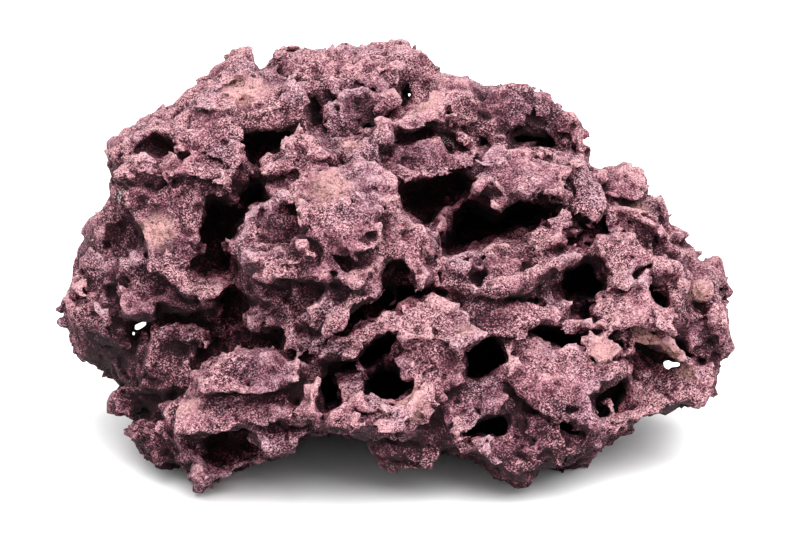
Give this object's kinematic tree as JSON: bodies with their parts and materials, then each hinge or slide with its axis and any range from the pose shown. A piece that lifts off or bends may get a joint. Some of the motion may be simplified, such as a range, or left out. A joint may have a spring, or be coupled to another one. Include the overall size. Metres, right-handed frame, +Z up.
{
  "type": "aquarium reef rock",
  "caption": "Lump of porous reef limestone with caves, ledges and a low arch, crusted pink and purple, resting on broad feet.",
  "frame": {"origin": "middle of the rock's box, on the surface that it stands on", "axes": "+Z up, +X along the rock's length to the right as seen from the front, front facing -Y"},
  "size_m": [0.3068, 0.201, 0.1775],
  "materials": {
    "coralline_crust": "dull, rough and pitted limestone under a mottled pink, mauve and purple coralline crust, near black in its hollows"
  },
  "bodies": {
    "root": {"reef_rock": "coralline_crust"}
  },
  "joints": []
}
